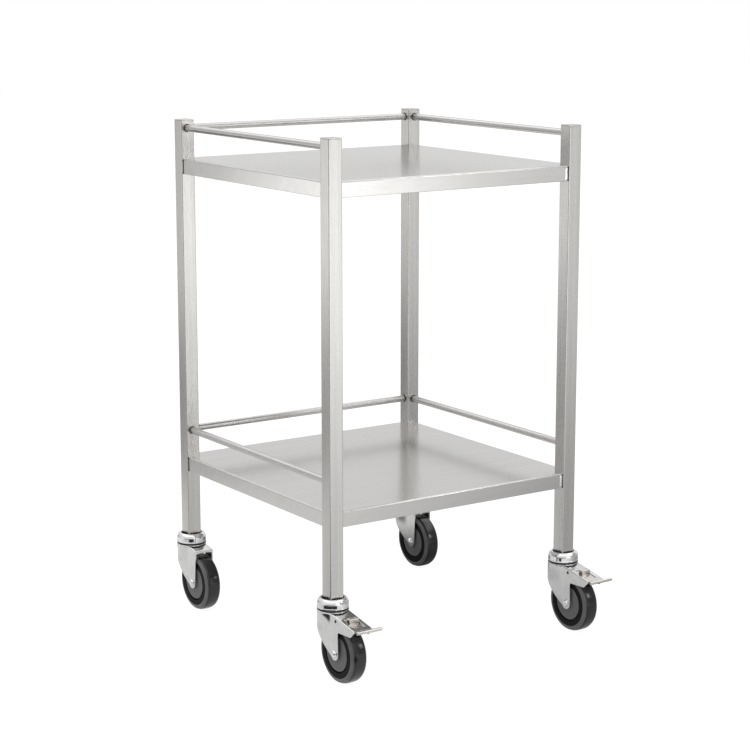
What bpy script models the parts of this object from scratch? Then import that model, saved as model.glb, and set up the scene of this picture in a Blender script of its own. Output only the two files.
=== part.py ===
"""Instrument cart: a square-tube frame with two folded shelves, rails and four swivel casters.

Run with: blender --background --python part.py. Metres, +Z up. The open side faces -Y. The origin
is under the middle of the whole cart, on the floor.
"""

import math

import bmesh
import bpy
from mathutils import Matrix, Vector

# Frame
FRAME_WIDTH = 0.500
FRAME_DEPTH = 0.490
CART_HEIGHT = 0.868
TUBE = 0.025
TUBE_WALL = 0.0012
TUBE_CORNER = 0.0025
CAP_PLATE = 0.002
CAP_EDGE = 0.0007
CAP_SPIGOT = 0.010
UPPER_DECK = 0.801
LOWER_DECK = 0.275
SHEET = 0.0012
FLANGE = 0.026
FLANGE_INSET = 0.0025
BEND = 0.002
RAIL_RADIUS = 0.006
RAIL_INSET = 0.0115
UPPER_RAIL = 0.8535
LOWER_RAIL = 0.3225
GAP = 0.0003
FLATNESS = 0.00001
SMOOTH_ANGLE = math.radians(35)
RAIL_FACETS = 16

# Caster heights and the swivel stack
TYRE_RADIUS = 0.050
TYRE_FACETS = 32
AXLE_HEIGHT = TYRE_RADIUS * math.cos(math.pi / TYRE_FACETS)
TRAIL = 0.031
CROWN_TOP = 0.115
CROWN_PLATE = 0.0025
CROWN_RADIUS = 0.026
CROWN_EDGE = 0.0008
CROWN_STEP = 0.0006
CROWN_FACETS = 32
HEAD_FACETS = 20
COLLAR_RADIUS = 0.026
COLLAR_BOTTOM = 0.1175
COLLAR_TOP = 0.134
COLLAR_HOLE = 0.0187
COLLAR_SHOULDER = 0.0205
COLLAR_WALL = 0.0015
COLLAR_RISES = (0.25, 0.78, 1.0)
COLLAR_CURVE = 3
BEARING_RADIUS = 0.0234
BEARING_HEIGHT = 0.0044
STEM_RADIUS = 0.005
STEM_FLANGE_RADIUS = 0.017
STEM_FLANGE = 0.0037
STEM_TOP = 0.172
RIVET_RADIUS = 0.009
RIVET_HEIGHT = 0.0037
PLUG_FLANGE = 0.0022
PLUG_TOP = 0.165
STEM_FACETS = 12

# Fork
CHEEK = 0.018
CHEEK_PLATE = 0.0025
CHEEK_BACK = 0.0195
BULGE_TOP = 0.112
BULGE_END = 0.082
BOSS_RADIUS = 0.0105
ARM_SLOPE = 0.187
ARM_START = -0.020
ARM_START_HEIGHT = 0.1145
VISOR_FRONT = -0.0445
VISOR_LIP = 0.0045
ARM_FRONT = -0.088
ARM_UNDER = 0.0895
LEG_FRONT = -0.041
SHEET_LAP = 0.002
ARM_MIDDLE = -0.052
ARM_TIP = 0.001
ARM_TIP_SET = 0.0005
ARM_NOSE_DROP = 0.0025
ARM_NOSE_END = -0.0815
ARM_HEEL = -0.0785
CROTCH_RADIUS = 0.004
CROTCH_DROP = 0.0014
CROTCH_END = 0.0050
VISOR_EDGE = ((0.100, -0.0445), (0.090, -0.0445), (0.082, -0.0440))
LEG_UPPER = 0.073
LEG_LOWER = 0.061
BOSS_ANGLES = (0, 35, 60, 78)
BOSS_CLEAR = 60
KNEE = 0.084
SWEEP = 1.75
BULGE_COLUMNS = (0.012, 0.0, -0.012)
COLUMNS = 5
BORE_FACETS = 16
WINDOW_WIDTH = 0.020
WINDOW_BACK = -0.045
WINDOW_FRONT = -0.079

# Wheel and axle
TYRE_WIDTH = 0.029
TYRE_BAND = 0.0060
TYRE_SHOULDER = 0.0025
TYRE_DROP = 0.002
TYRE_BEVEL = 0.0006
TYRE_SIDE_RADIUS = 0.0445
TYRE_BORE = 0.032
HUB_RIM_WIDTH = 0.017
DISC_RADIUS = 0.0295
DISC_WIDTH = 0.0274
HUB_BOSS_RADIUS = 0.010
HUB_BOSS_WIDTH = 0.0297
SLEEVE_RADIUS = 0.006
AXLE_RADIUS = 0.004
BOLT_HEAD_RADIUS = 0.0066
BOLT_HEAD = 0.0042
BOLT_DOME = ((0.35, 1.0), (0.8, 0.75), (1.0, 0.3))
AXLE_FACETS = 12
NUT_ACROSS_FLATS = 0.013
NUT_HEIGHT = 0.006
BOLT_END = 0.0262

# Brake lever
PIVOT_Y = -0.035
PIVOT_HEIGHT = 0.105
PIVOT_RADIUS = 0.002
PIVOT_END = 0.0188
PIVOT_FACETS = 10
BARREL_RADIUS = 0.0036
BARREL_HALF = 0.0145
LEVER_HALF = 0.0125
LEVER_PLATE = 0.002
LEVER_CLEARANCE = 0.001
SHOE_BACK = -0.043
SHOE_FRONT = -0.049
SHOE_HEIGHT = 0.1005
PEDAL_RADIUS = 0.0029
PEDAL_Y = -0.0915
PEDAL_HEIGHT = 0.0995
PEDAL_LEFT = -0.015
PEDAL_RIGHT = 0.033
TAB_HALF = 0.0085
TAB_FRONT = -0.0625
TAB_BACK = -0.054
TAB_TOP = 0.1135

# The casters trail and the pedals stick out, so the frame's middle isn't over the origin.
REACH_LEFT = FRAME_WIDTH / 2 - TUBE / 2 + COLLAR_RADIUS
REACH_RIGHT = FRAME_WIDTH / 2 - TUBE / 2 + PEDAL_RIGHT
REACH_BACK = FRAME_DEPTH / 2 - TUBE / 2 + COLLAR_RADIUS
REACH_FRONT = FRAME_DEPTH / 2 - TUBE / 2 - PEDAL_Y + PEDAL_RADIUS
FRAME_X = (REACH_LEFT - REACH_RIGHT) / 2
FRAME_Y = (REACH_FRONT - REACH_BACK) / 2

CORNERS = {
    "front_left": (-1, -1),
    "front_right": (1, -1),
    "back_left": (-1, 1),
    "back_right": (1, 1),
}

MATERIALS = {
    "brushed_steel": ((0.60, 0.59, 0.57), 0.34, 1.0),
    "polished_steel": ((0.68, 0.67, 0.65), 0.22, 1.0),
    "chrome": ((0.80, 0.80, 0.80), 0.08, 1.0),
    "zinc": ((0.70, 0.70, 0.69), 0.25, 1.0),
    "nickel": ((0.72, 0.69, 0.63), 0.30, 1.0),
    "rubber": ((0.045, 0.045, 0.047), 0.60, 0.0),
    "hub_plastic": ((0.13, 0.13, 0.135), 0.50, 0.0),
    "seal_rubber": ((0.015, 0.015, 0.015), 0.70, 0.0),
    "plug_plastic": ((0.03, 0.03, 0.03), 0.55, 0.0),
}


def clear_scene():
    for thing in list(bpy.data.objects):
        bpy.data.objects.remove(thing)


def make_material(name):
    colour, roughness, metallic = MATERIALS[name]
    made = bpy.data.materials.new(name)
    made.use_nodes = True
    shader = made.node_tree.nodes["Principled BSDF"]
    shader.inputs["Base Color"].default_value = (*colour, 1.0)
    shader.inputs["Roughness"].default_value = roughness
    shader.inputs["Metallic"].default_value = metallic
    made.diffuse_color = (*colour, 1.0)
    return made


# Loops: lists of points that a loft joins.


def circle(radius, height, count):
    """A flat ring of points round Z, with a side, not a corner, facing -Y."""
    turns = [(step + 0.5) * 2 * math.pi / count for step in range(count)]
    return [Vector((radius * math.sin(a), -radius * math.cos(a), height)) for a in turns]


def rounded_square(half, corner, height, steps=3):
    """A square outline round Z with each corner an arc of that many points."""
    loop = []
    for quarter in range(4):
        sign_x = (1, -1, -1, 1)[quarter]
        sign_y = (1, 1, -1, -1)[quarter]
        middle = Vector((sign_x * (half - corner), sign_y * (half - corner), height))
        for step in range(steps):
            angle = math.radians(90) * (quarter + step / (steps - 1))
            loop.append(middle + corner * Vector((math.cos(angle), math.sin(angle), 0)))
    return loop


# Meshes


def loft(loops, ring=False):
    """A closed mesh through loops of equal length: capped at both ends, or closed on itself."""
    shape = bmesh.new()
    rows = [[shape.verts.new(point) for point in loop] for loop in loops]
    pairs = list(zip(rows, rows[1:]))
    if ring:
        pairs.append((rows[-1], rows[0]))
    else:
        shape.faces.new(rows[0])
        shape.faces.new(rows[-1])
    count = len(rows[0])
    for low, high in pairs:
        for step in range(count):
            following = (step + 1) % count
            shape.faces.new((low[step], low[following], high[following], high[step]))
    bmesh.ops.recalc_face_normals(shape, faces=shape.faces[:])
    return finished(shape)


def finished(shape):
    """The mesh of a bmesh, with twisted faces split and round faces smooth."""
    twisted = [face for face in shape.faces if is_twisted(face)]
    bmesh.ops.triangulate(shape, faces=twisted)
    mesh = bpy.data.meshes.new("shape")
    shape.to_mesh(mesh)
    shape.free()
    mesh.shade_smooth()
    mesh.set_sharp_from_angle(angle=SMOOTH_ANGLE)
    return mesh


def is_twisted(face):
    middle = face.calc_center_median()
    return any(abs((vert.co - middle).dot(face.normal)) > FLATNESS for vert in face.verts)


def turned(profile, count, ring=False):
    """A turned solid round Z from (radius, height) points; ring joins the last to the first."""
    return loft([circle(radius, height, count) for radius, height in profile], ring)


def turned_x(profile, count, ring=False):
    """The same round X: (radius, x) points, with a flat facet facing down."""
    mesh = turned(profile, count, ring)
    # The facet that faced -Y now faces down.
    mesh.transform(Matrix(((0, 0, 1), (1, 0, 0), (0, 1, 0))).to_4x4())
    return mesh


def plate_x(outline, low, high):
    """An outline of (y, z) points extruded along X from low to high."""
    return loft([[Vector((x, y, z)) for y, z in outline] for x in (low, high)])


def box(low, high):
    corners = ((low[1], low[2]), (high[1], low[2]), (high[1], high[2]), (low[1], high[2]))
    return plate_x(corners, low[0], high[0])


def moved(mesh, x=0.0, y=0.0, z=0.0):
    mesh.transform(Matrix.Translation((x, y, z)))
    return mesh


def combined(parts, holes):
    """One mesh: the parts joined, then the holes cut out of them."""
    bodies = [bpy.data.objects.new("helper", mesh) for mesh in parts + holes]
    for body in bodies:
        bpy.context.scene.collection.objects.link(body)
        body.hide_render = True
        body.display_type = "WIRE"
    for index, other in enumerate(bodies[1:], start=1):
        modifier = bodies[0].modifiers.new("combine", "BOOLEAN")
        modifier.solver = "EXACT"
        modifier.operation = "UNION" if index < len(parts) else "DIFFERENCE"
        modifier.object = other
    bpy.context.view_layer.update()
    graph = bpy.context.evaluated_depsgraph_get()
    mesh = bpy.data.meshes.new_from_object(bodies[0].evaluated_get(graph))
    for body in bodies:
        bpy.data.objects.remove(body)
    mesh.shade_smooth()
    mesh.set_sharp_from_angle(angle=SMOOTH_ANGLE)
    return mesh


# Frame pieces, round the frame's middle


def post_mesh(bottom, top):
    inner = TUBE / 2 - TUBE_WALL
    inner_corner = TUBE_CORNER - TUBE_WALL
    return loft(
        [
            rounded_square(TUBE / 2, TUBE_CORNER, bottom),
            rounded_square(TUBE / 2, TUBE_CORNER, top),
            rounded_square(inner, inner_corner, top),
            rounded_square(inner, inner_corner, bottom),
        ],
        ring=True,
    )


def post_cap_mesh():
    """A flush plate that closes the tube, on a spigot inside it."""
    top = CART_HEIGHT
    under = top - CAP_PLATE
    spigot = TUBE / 2 - TUBE_WALL - GAP
    spigot_corner = TUBE_CORNER - TUBE_WALL
    return loft(
        [
            rounded_square(spigot, spigot_corner, under - CAP_SPIGOT),
            rounded_square(spigot, spigot_corner, under),
            rounded_square(TUBE / 2, TUBE_CORNER, under),
            rounded_square(TUBE / 2, TUBE_CORNER, top - CAP_EDGE),
            rounded_square(TUBE / 2 - CAP_EDGE, TUBE_CORNER, top),
        ]
    )


def shelf_mesh(deck):
    """A deck with four flanges turned down and its corners notched round the posts."""
    half_x = FRAME_WIDTH / 2 - FLANGE_INSET
    half_y = FRAME_DEPTH / 2 - FLANGE_INSET
    notch_x = FRAME_WIDTH / 2 - TUBE - GAP
    notch_y = FRAME_DEPTH / 2 - TUBE - GAP
    quarter = [(half_x, notch_y), (notch_x, notch_y), (notch_x, half_y)]
    outline = []
    for sign_x, sign_y in ((1, 1), (-1, 1), (-1, -1), (1, -1)):
        points = [(sign_x * x, sign_y * y) for x, y in quarter]
        outline += points if sign_x == sign_y else points[::-1]
    block = bmesh.new()
    rows = []
    for height in (deck - FLANGE, deck):
        rows.append([block.verts.new((x, y, height)) for x, y in outline])
    block.faces.new(rows[0])
    block.faces.new(rows[1])
    for step in range(len(outline)):
        following = (step + 1) % len(outline)
        low, high = rows
        block.faces.new((low[step], low[following], high[following], high[step]))
    bmesh.ops.recalc_face_normals(block, faces=block.faces[:])
    bmesh.ops.bevel(
        block,
        geom=[edge for edge in block.edges if is_bend(edge, deck, half_x, half_y)],
        offset=BEND,
        segments=2,
        profile=0.5,
        affect="EDGES",
    )
    hollow = box(
        (SHEET - half_x, SHEET - half_y, deck - 2 * FLANGE),
        (half_x - SHEET, half_y - SHEET, deck - SHEET),
    )
    return combined([finished(block)], [hollow])


def is_bend(edge, deck, half_x, half_y):
    """Is this one of the deck's four outer edges, where the sheet is bent down?"""
    first, second = (vert.co for vert in edge.verts)
    if min(first.z, second.z) < deck - GAP:
        return False
    on_side = min(abs(first.x), abs(second.x)) > half_x - GAP
    on_front = min(abs(first.y), abs(second.y)) > half_y - GAP
    return on_side or on_front


def rail_mesh(length):
    """A round rod along X."""
    return turned_x([(RAIL_RADIUS, -length / 2), (RAIL_RADIUS, length / 2)], RAIL_FACETS)


# Caster pieces, round the swivel axis at floor level


def plug_mesh():
    """The expander plug: a square block inside the tube, on a flange under its end."""
    low = CROWN_TOP + BEARING_HEIGHT + STEM_FLANGE + 3 * GAP
    middle = low + PLUG_FLANGE
    block = TUBE / 2 - TUBE_WALL - GAP
    corner = TUBE_CORNER - TUBE_WALL
    body = loft(
        [
            rounded_square(TUBE / 2, TUBE_CORNER, low),
            rounded_square(TUBE / 2, TUBE_CORNER, middle),
            rounded_square(block, corner, middle),
            rounded_square(block, corner, PLUG_TOP),
        ]
    )
    hole = turned([(STEM_RADIUS + GAP, 0), (STEM_RADIUS + GAP, STEM_TOP)], STEM_FACETS)
    return combined([body], [hole])


def post_bottom():
    return CROWN_TOP + BEARING_HEIGHT + STEM_FLANGE + PLUG_FLANGE + 4 * GAP


def stem_mesh():
    """The kingpin: a rivet head under the fork, a flange on the bearing and a shank in the plug."""
    rivet = CROWN_TOP - CROWN_PLATE - GAP
    flange = CROWN_TOP + BEARING_HEIGHT + 2 * GAP
    profile = [
        (RIVET_RADIUS, rivet - RIVET_HEIGHT),
        (RIVET_RADIUS, rivet),
        (STEM_RADIUS, rivet),
        (STEM_RADIUS, flange),
        (STEM_FLANGE_RADIUS, flange),
        (STEM_FLANGE_RADIUS, flange + STEM_FLANGE),
        (STEM_RADIUS, flange + STEM_FLANGE),
        (STEM_RADIUS, STEM_TOP),
    ]
    return turned(profile, STEM_FACETS)


def collar_mesh():
    """The pressed cover of the swivel head, open below, with a hole for the tube on top."""
    height = COLLAR_TOP - COLLAR_BOTTOM
    draw = COLLAR_RADIUS - COLLAR_SHOULDER
    outer = [(COLLAR_RADIUS, COLLAR_BOTTOM)]
    for rise in COLLAR_RISES:
        outer.append((COLLAR_RADIUS - draw * rise**COLLAR_CURVE, COLLAR_BOTTOM + rise * height))
    outer.append((COLLAR_HOLE, COLLAR_TOP))
    inner = [
        (COLLAR_HOLE, COLLAR_TOP - COLLAR_WALL),
        (COLLAR_SHOULDER, COLLAR_TOP - COLLAR_WALL),
        (COLLAR_RADIUS - COLLAR_WALL, COLLAR_BOTTOM),
    ]
    return turned(outer + inner, HEAD_FACETS, ring=True)


def bearing_mesh():
    """The sealed ball race between the fork's crown and the stem's flange."""
    low = CROWN_TOP + GAP
    high = low + BEARING_HEIGHT
    bore = STEM_RADIUS + GAP
    profile = [(bore, low), (BEARING_RADIUS, low), (BEARING_RADIUS, high), (bore, high)]
    return turned(profile, HEAD_FACETS, ring=True)


def arm_top(y):
    """The height of the fork's sloping top plate."""
    return ARM_START_HEIGHT + ARM_SLOPE * (y - ARM_START)


def cheek_rows(braked):
    """(height, back y, front y) down the cheek, from the crown to the bottom of the axle boss."""
    if braked:
        tip = arm_top(ARM_FRONT + ARM_TIP)
        front = [
            (arm_top(ARM_MIDDLE), ARM_MIDDLE),
            (tip, ARM_FRONT + ARM_TIP),
            (tip - ARM_NOSE_DROP, ARM_FRONT),
            (ARM_UNDER + ARM_NOSE_DROP, ARM_NOSE_END),
            (ARM_UNDER, ARM_HEEL),
            (ARM_UNDER - CROTCH_DROP, LEG_FRONT - CROTCH_RADIUS),
            (ARM_UNDER - CROTCH_END, LEG_FRONT),
        ]
    else:
        front = [(arm_top(VISOR_FRONT) - GAP, VISOR_FRONT), *VISOR_EDGE]
    leg_foot = LEG_FRONT if braked else -TRAIL - BOSS_RADIUS
    first = ARM_START - SHEET_LAP
    rows = [(arm_top(first), first), *front]
    rows += [(LEG_UPPER, front[-1][1]), (LEG_LOWER, (front[-1][1] + leg_foot) / 2)]
    rows = [(z, cheek_back(z), y) for z, y in rows]
    for angle in BOSS_ANGLES:
        reach = BOSS_RADIUS * math.cos(math.radians(angle))
        height = AXLE_HEIGHT - BOSS_RADIUS * math.sin(math.radians(angle))
        back = -TRAIL + reach
        if angle < BOSS_CLEAR:
            back = max(back, cheek_back(height))
        rows.append((height, back, -TRAIL - reach))
    return rows


def cheek_back(height):
    """The back edge: nearly upright at the top, then swept forward to the axle boss."""
    if height > KNEE:
        return CHEEK_BACK
    fall = (KNEE - height) / (KNEE - AXLE_HEIGHT + BOSS_RADIUS)
    return CHEEK_BACK - (CHEEK_BACK + TRAIL) * fall**SWEEP


def cheek_reach(y, height):
    """How far out the cheek's outer face stands: round under the crown, flat lower down."""
    if abs(y) >= math.sqrt(CROWN_RADIUS**2 - CHEEK**2):
        return CHEEK
    share = min(1.0, max(0.0, (height - BULGE_END) / (BULGE_TOP - BULGE_END)))
    share = share * share * (3 - 2 * share)
    return CHEEK + (math.sqrt(CROWN_RADIUS**2 - y * y) - CHEEK) * share


def cheek_mesh(side, braked):
    """One cheek: a pressed plate of even thickness, on the -X or the +X side."""
    loops = []
    for height, back, front in cheek_rows(braked):
        if height > BULGE_END and front < ARM_START:
            columns = [back, *BULGE_COLUMNS, ARM_START, front]
        else:
            columns = [back + (front - back) * step / COLUMNS for step in range(COLUMNS + 1)]
        outer = [Vector((side * cheek_reach(y, height), y, height)) for y in columns]
        inner = [point - Vector((side * CHEEK_PLATE, 0, 0)) for point in outer]
        loops.append(outer + inner[::-1])
    return loft(loops)


def fork_mesh(braked):
    """Crown, two cheeks and a sloping top plate: a visor, or the long arm with the brake window."""
    crown = turned(
        [
            (CROWN_RADIUS - 2 * CROWN_EDGE, CROWN_TOP - CROWN_PLATE),
            (CROWN_RADIUS - CROWN_EDGE, CROWN_TOP - CROWN_PLATE + CROWN_STEP),
            (CROWN_RADIUS - CROWN_EDGE, CROWN_TOP - CROWN_EDGE),
            (CROWN_RADIUS - 2 * CROWN_EDGE, CROWN_TOP),
        ],
        CROWN_FACETS,
    )
    half = CHEEK - CHEEK_PLATE / 2
    end = ARM_FRONT + ARM_TIP_SET if braked else VISOR_FRONT + GAP
    start = ARM_START + SHEET_LAP
    sheet = [(start, arm_top(start)), (end, arm_top(end))]
    sheet += [(y, z - CHEEK_PLATE) for y, z in sheet[::-1]]
    parts = [crown, cheek_mesh(-1, braked), cheek_mesh(1, braked), plate_x(sheet, -half, half)]
    if not braked:
        low = arm_top(end) - CHEEK_PLATE - VISOR_LIP
        parts.append(box((-half, end + GAP, low), (half, end + CHEEK_PLATE, arm_top(end) - GAP)))
    across = 2 * CROWN_RADIUS
    through = 4 * CROWN_PLATE
    stem = turned([(STEM_RADIUS + GAP, -through), (STEM_RADIUS + GAP, through)], BORE_FACETS)
    holes = [moved(stem, z=CROWN_TOP)]
    axle = turned_x([(AXLE_RADIUS + GAP, -across), (AXLE_RADIUS + GAP, across)], BORE_FACETS)
    holes.append(moved(axle, y=-TRAIL, z=AXLE_HEIGHT))
    if braked:
        pin = turned_x([(PIVOT_RADIUS + GAP, -across), (PIVOT_RADIUS + GAP, across)], STEM_FACETS)
        holes.append(moved(pin, y=PIVOT_Y, z=PIVOT_HEIGHT))
        half_window = WINDOW_WIDTH / 2
        low = (-half_window, WINDOW_FRONT, arm_top(WINDOW_FRONT) - 3 * CHEEK_PLATE)
        holes.append(box(low, (half_window, WINDOW_BACK, CROWN_TOP)))
    return combined(parts, holes)


# Wheel pieces, round the axle


def tyre_mesh():
    """Solid tyre: a flat band in the middle of the tread and rounded shoulders."""
    side = TYRE_WIDTH / 2
    half = [
        (TYRE_BORE, side - TYRE_BEVEL),
        (TYRE_SIDE_RADIUS, side),
        (TYRE_RADIUS - TYRE_DROP, side - TYRE_SHOULDER),
        (TYRE_RADIUS, TYRE_BAND),
    ]
    mirrored = [(radius, -x) for radius, x in half[::-1]]
    return turned_x(half + mirrored, TYRE_FACETS, ring=True)


def hub_mesh():
    """Hub rim inside the tyre, a flat disc on each side and a small boss at the bore."""
    bore = SLEEVE_RADIUS + GAP
    half = [
        (bore, HUB_BOSS_WIDTH / 2),
        (HUB_BOSS_RADIUS, HUB_BOSS_WIDTH / 2),
        (HUB_BOSS_RADIUS, DISC_WIDTH / 2),
        (DISC_RADIUS, DISC_WIDTH / 2),
        (DISC_RADIUS, HUB_RIM_WIDTH / 2),
        (TYRE_BORE * math.cos(math.pi / TYRE_FACETS) - GAP, HUB_RIM_WIDTH / 2),
    ]
    mirrored = [(radius, -x) for radius, x in half[::-1]]
    return turned_x(half + mirrored, HEAD_FACETS, ring=True)


def sleeve_mesh():
    half = CHEEK - CHEEK_PLATE - GAP
    bore = AXLE_RADIUS + GAP
    profile = [(bore, -half), (SLEEVE_RADIUS, -half), (SLEEVE_RADIUS, half), (bore, half)]
    return turned_x(profile, AXLE_FACETS, ring=True)


def axle_bolt_mesh():
    """Domed head outside the -X cheek, shank through the sleeve, end outside the +X cheek."""
    seat = -CHEEK - GAP
    profile = [(BOLT_HEAD_RADIUS * share, seat - BOLT_HEAD * rise) for share, rise in BOLT_DOME]
    profile += [(BOLT_HEAD_RADIUS, seat), (AXLE_RADIUS, seat), (AXLE_RADIUS, BOLT_END)]
    return turned_x(profile, AXLE_FACETS)


def axle_nut_mesh():
    hexagon = NUT_ACROSS_FLATS / 2 / math.cos(math.pi / 6)
    bore = (AXLE_RADIUS + GAP) / math.cos(math.pi / 6)
    low = CHEEK + GAP
    high = low + NUT_HEIGHT
    return turned_x([(bore, low), (hexagon, low), (hexagon, high), (bore, high)], 6, ring=True)


def pivot_pin_mesh():
    return turned_x([(PIVOT_RADIUS, -PIVOT_END), (PIVOT_RADIUS, PIVOT_END)], PIVOT_FACETS)


def lever_top(y):
    """The lever's upper face, which runs just under the arm's top plate."""
    return arm_top(y) - CHEEK_PLATE - LEVER_CLEARANCE


def brake_lever_mesh():
    """Barrel on the pin, plate under the arm, shoe over the tread, cross bar and release tab."""
    barrel = turned_x([(BARREL_RADIUS, -BARREL_HALF), (BARREL_RADIUS, BARREL_HALF)], AXLE_FACETS)
    sheet = [(PIVOT_Y, lever_top(PIVOT_Y)), (PEDAL_Y, lever_top(PEDAL_Y))]
    sheet += [(y, z - LEVER_PLATE) for y, z in sheet[::-1]]
    shoe = box((-LEVER_HALF, SHOE_FRONT, SHOE_HEIGHT), (LEVER_HALF, SHOE_BACK, lever_top(SHOE_FRONT) - GAP))
    bar = turned_x([(PEDAL_RADIUS, PEDAL_LEFT), (PEDAL_RADIUS, PEDAL_RIGHT)], AXLE_FACETS)
    tab = [
        (TAB_FRONT, lever_top(TAB_FRONT) - LEVER_PLATE / 2),
        (TAB_FRONT, TAB_TOP - LEVER_PLATE),
        (TAB_FRONT + LEVER_PLATE, TAB_TOP),
        (TAB_BACK, TAB_TOP),
        (TAB_BACK, TAB_TOP - LEVER_PLATE),
        (TAB_FRONT + LEVER_PLATE, TAB_TOP - LEVER_PLATE),
        (TAB_FRONT + LEVER_PLATE, lever_top(TAB_FRONT) - LEVER_PLATE / 2),
    ]
    parts = [
        plate_x(sheet, -LEVER_HALF, LEVER_HALF),
        moved(barrel, y=PIVOT_Y, z=PIVOT_HEIGHT),
        shoe,
        moved(bar, y=PEDAL_Y, z=PEDAL_HEIGHT),
        plate_x(tab, -TAB_HALF, TAB_HALF),
    ]
    hole = turned_x([(PIVOT_RADIUS + GAP, -CHEEK), (PIVOT_RADIUS + GAP, CHEEK)], PIVOT_FACETS)
    lever = combined(parts, [moved(hole, y=PIVOT_Y, z=PIVOT_HEIGHT)])
    return moved(lever, y=-PIVOT_Y, z=-PIVOT_HEIGHT)


# Assembly


def empty(name, parent, location):
    made = bpy.data.objects.new(name, None)
    bpy.context.scene.collection.objects.link(made)
    made.parent = parent
    made.location = location
    return made


def piece(name, mesh, material, parent, location=(0, 0, 0), turn=0.0):
    """A named object on the mesh, which takes the material the first time it's used."""
    made = bpy.data.objects.new(name, mesh)
    bpy.context.scene.collection.objects.link(made)
    if not mesh.materials:
        mesh.materials.append(material)
    made.parent = parent
    made.location = location
    made.rotation_euler.z = turn
    return made


def build_frame(frame, steel, polished):
    post = post_mesh(post_bottom(), CART_HEIGHT - CAP_PLATE - GAP)
    cap = post_cap_mesh()
    for corner, (sign_x, sign_y) in CORNERS.items():
        axis = post_axis(sign_x, sign_y)
        piece(f"post_{corner}", post, steel, frame, axis)
        piece(f"post_cap_{corner}", cap, polished, frame, axis)
    rail_x = FRAME_WIDTH / 2 - RAIL_INSET
    rail_y = FRAME_DEPTH / 2 - RAIL_INSET
    side_rail = rail_mesh(FRAME_DEPTH - 2 * TUBE - 2 * GAP)
    back_rail = rail_mesh(FRAME_WIDTH - 2 * TUBE - 2 * GAP)
    quarter = math.radians(90)
    for level, deck, height in (("upper", UPPER_DECK, UPPER_RAIL), ("lower", LOWER_DECK, LOWER_RAIL)):
        piece(f"{level}_shelf", shelf_mesh(deck), steel, frame)
        piece(f"{level}_rail_left", side_rail, polished, frame, (-rail_x, 0, height), quarter)
        piece(f"{level}_rail_right", side_rail, polished, frame, (rail_x, 0, height), quarter)
        piece(f"{level}_rail_back", back_rail, polished, frame, (0, rail_y, height))


def post_axis(sign_x, sign_y):
    return (sign_x * (FRAME_WIDTH - TUBE) / 2, sign_y * (FRAME_DEPTH - TUBE) / 2, 0)


def build_casters(frame, finish):
    shared = {
        "caster_plug": (plug_mesh(), "plug_plastic"),
        "caster_stem": (stem_mesh(), "zinc"),
        "caster_collar": (collar_mesh(), "chrome"),
        "caster_bearing": (bearing_mesh(), "seal_rubber"),
    }
    on_axle = {
        "tyre": (tyre_mesh(), "rubber"),
        "hub": (hub_mesh(), "hub_plastic"),
        "axle_sleeve": (sleeve_mesh(), "zinc"),
        "axle_bolt": (axle_bolt_mesh(), "chrome"),
        "axle_nut": (axle_nut_mesh(), "zinc"),
    }
    forks = {braked: fork_mesh(braked) for braked in (False, True)}
    on_pivot = {
        "brake_lever": (brake_lever_mesh(), "nickel"),
        "brake_pin": (pivot_pin_mesh(), "chrome"),
    }
    for corner, (sign_x, sign_y) in CORNERS.items():
        braked = sign_y < 0
        swivel = empty(f"swivel_{corner}", frame, post_axis(sign_x, sign_y))
        for name, (mesh, coat) in shared.items():
            piece(f"{name}_{corner}", mesh, finish[coat], swivel)
        piece(f"fork_{corner}", forks[braked], finish["zinc"], swivel)
        axle = empty(f"axle_{corner}", swivel, (0, -TRAIL, AXLE_HEIGHT))
        for name, (mesh, coat) in on_axle.items():
            piece(f"{name}_{corner}", mesh, finish[coat], axle)
        if braked:
            pivot = empty(f"pivot_{corner}", swivel, (0, PIVOT_Y, PIVOT_HEIGHT))
            for name, (mesh, coat) in on_pivot.items():
                piece(f"{name}_{corner}", mesh, finish[coat], pivot)


def main():
    clear_scene()
    finish = {name: make_material(name) for name in MATERIALS}
    frame = empty("cart_frame", None, (FRAME_X, FRAME_Y, 0))
    build_frame(frame, finish["brushed_steel"], finish["polished_steel"])
    build_casters(frame, finish)


main()
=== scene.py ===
"""The looks of an instrument cart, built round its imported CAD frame.

Metres, +Z up; the open side faces -Y. Outlines of the small caster pieces are in millimetres.
"""

import math

import bmesh
import bpy
from mathutils import Matrix, Vector, noise


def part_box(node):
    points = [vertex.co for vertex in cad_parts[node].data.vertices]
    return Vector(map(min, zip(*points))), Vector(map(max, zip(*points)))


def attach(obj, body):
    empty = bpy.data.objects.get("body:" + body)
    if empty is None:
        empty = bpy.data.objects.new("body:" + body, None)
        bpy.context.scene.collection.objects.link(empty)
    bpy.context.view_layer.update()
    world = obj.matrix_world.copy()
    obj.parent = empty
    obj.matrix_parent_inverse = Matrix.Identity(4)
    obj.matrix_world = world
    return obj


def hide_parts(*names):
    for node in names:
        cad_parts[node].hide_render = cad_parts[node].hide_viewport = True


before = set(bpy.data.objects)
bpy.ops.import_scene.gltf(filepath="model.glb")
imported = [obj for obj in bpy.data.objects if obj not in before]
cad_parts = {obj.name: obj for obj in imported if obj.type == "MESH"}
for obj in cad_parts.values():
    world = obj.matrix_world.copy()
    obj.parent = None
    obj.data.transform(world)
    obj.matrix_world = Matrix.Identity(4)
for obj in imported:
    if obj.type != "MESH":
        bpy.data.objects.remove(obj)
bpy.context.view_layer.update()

MM = 0.001
CORNERS = {"front_left": (-1, -1), "front_right": (1, -1), "back_left": (-1, 1), "back_right": (1, 1)}
LEVELS = ("upper", "lower")
RAIL_SIDES = ("left", "right", "back")


def middle(node):
    low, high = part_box(node)
    return (low + high) / 2


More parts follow.
